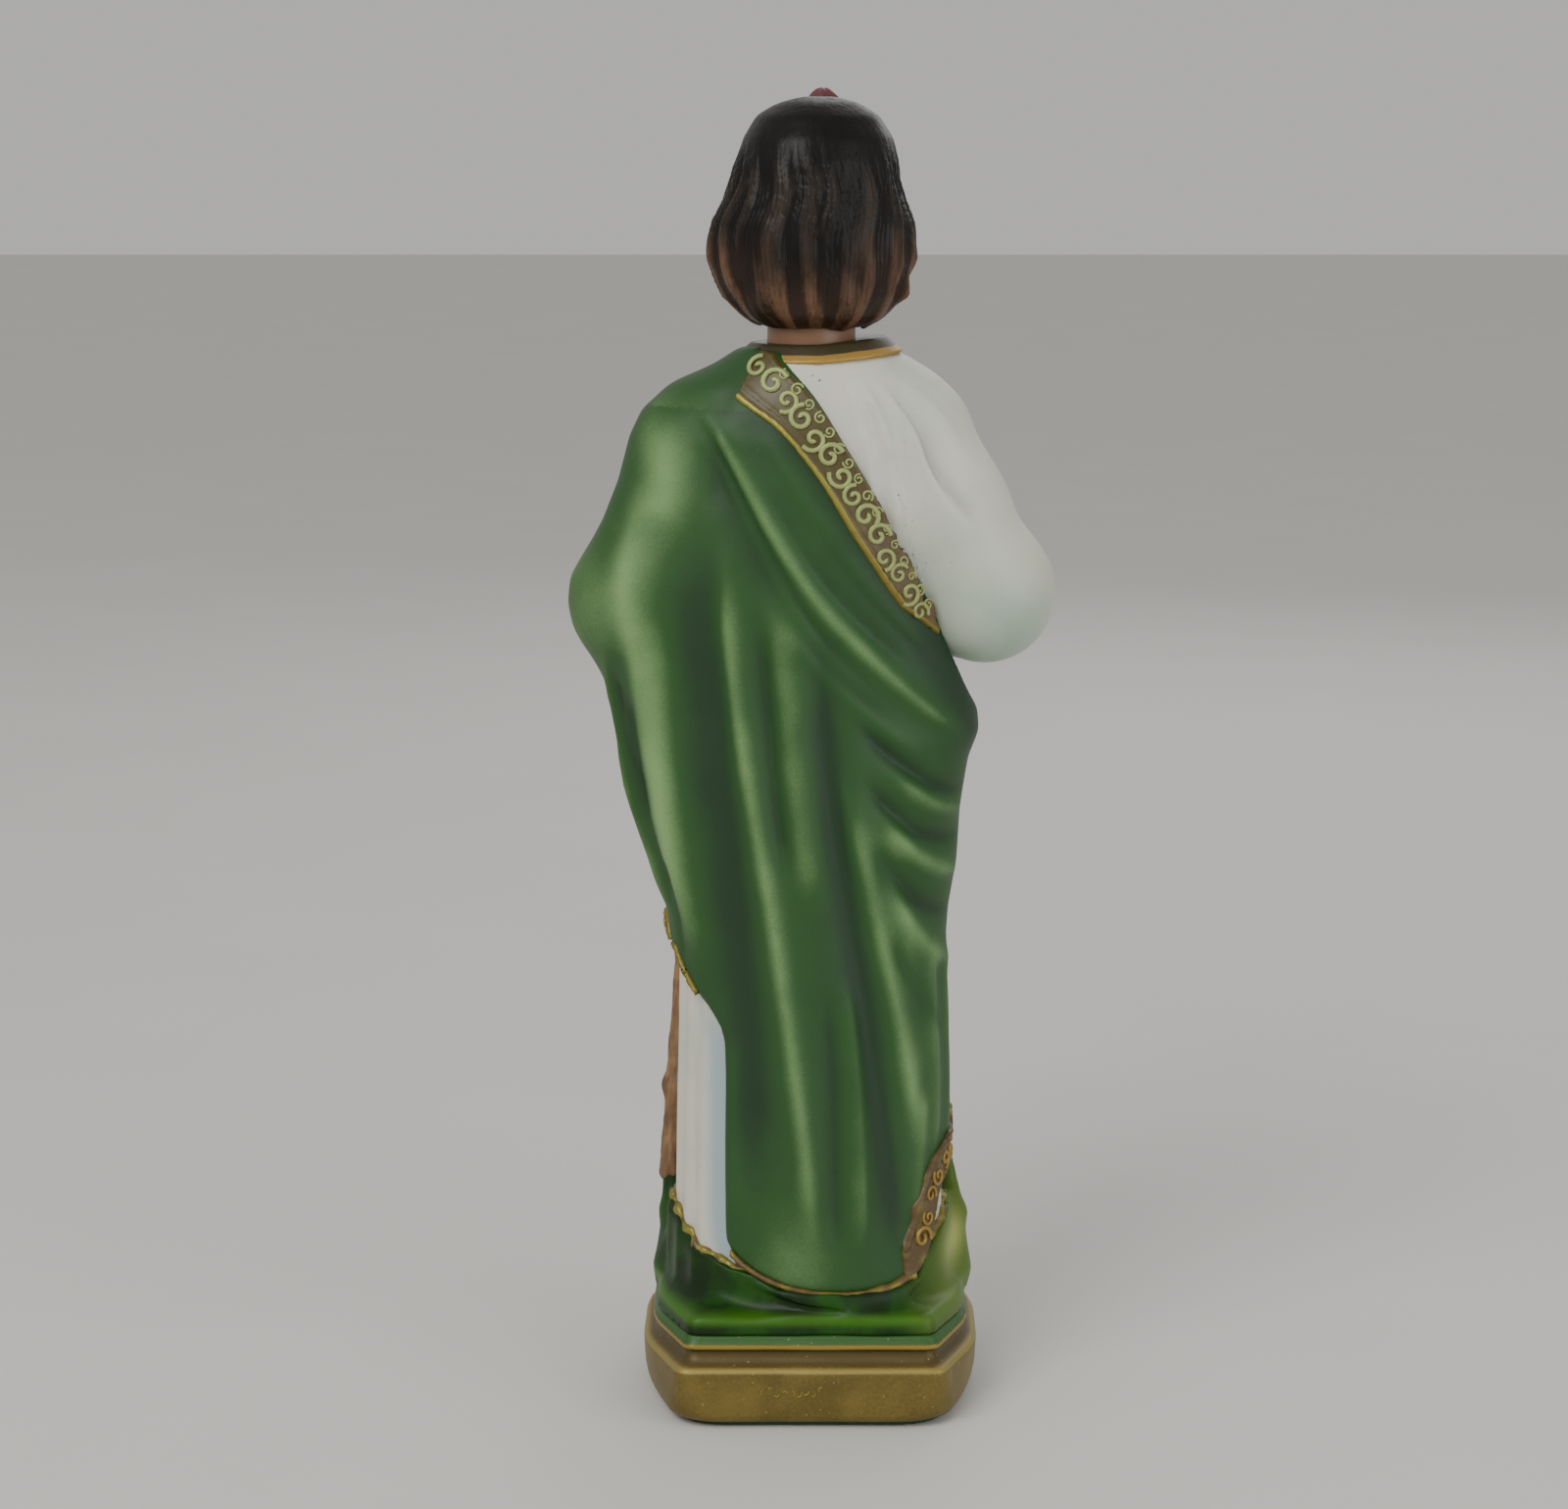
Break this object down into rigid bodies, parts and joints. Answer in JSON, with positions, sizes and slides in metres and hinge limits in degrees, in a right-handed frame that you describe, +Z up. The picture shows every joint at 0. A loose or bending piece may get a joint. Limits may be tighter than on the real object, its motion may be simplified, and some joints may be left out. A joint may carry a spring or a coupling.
{
  "type": "statuette",
  "caption": "Painted hollow-cast plaster statuette of a standing robed figure holding a staff, in a draped mantle with moulded borders, on a stepped plinth with cut corners",
  "frame": {"origin": "on the resting face of the felt pad, under the figure's axis", "axes": "+Z up; the figure faces -Y; +X is the figure's left side"},
  "size_m": [0.075, 0.0543, 0.205],
  "materials": {
    "felt": "matt wool felt",
    "plinth_paint": "plaster under worn bronze-gold paint",
    "ground_paint": "plaster under satin green paint",
    "cork": "raw",
    "tunic_paint": "plaster under satin ivory paint",
    "mantle_paint": "plaster under pale green paint with darker green in the folds",
    "gilt": "plaster under metallic gold paint",
    "skin_paint": "plaster under satin flesh paint",
    "hair_paint": "plaster under gloss dark brown paint",
    "sole_paint": "plaster under brown paint",
    "staff_paint": "plaster under satin brown paint",
    "flame_paint": "plaster under red paint",
    "steel_wire": "drawn"
  },
  "bodies": {
    "root": {"felt_pad": "felt", "plinth": "plinth_paint", "ground": "ground_paint", "pour_hole_plug": "cork", "tunic": "tunic_paint", "right_sleeve": "tunic_paint", "right_cuff": "tunic_paint", "left_cuff": "tunic_paint", "mantle": "mantle_paint", "mantle_border_back": "gilt", "mantle_border_front": "gilt", "mantle_border_lower": "gilt", "mantle_border_side": "gilt", "mantle_hem": "gilt", "tunic_hem": "gilt", "collar": "gilt", "head": "skin_paint", "right_hand": "skin_paint", "left_hand": "skin_paint", "right_foot": "skin_paint", "left_foot": "skin_paint", "hair": "hair_paint", "right_sole": "sole_paint", "left_sole": "sole_paint", "staff": "staff_paint", "flame": "flame_paint", "neck_rod": "steel_wire", "shoulder_dowel": "steel_wire", "right_wrist_wire": "steel_wire", "left_wrist_wire": "steel_wire", "flame_pin": "steel_wire"}
  },
  "joints": []
}
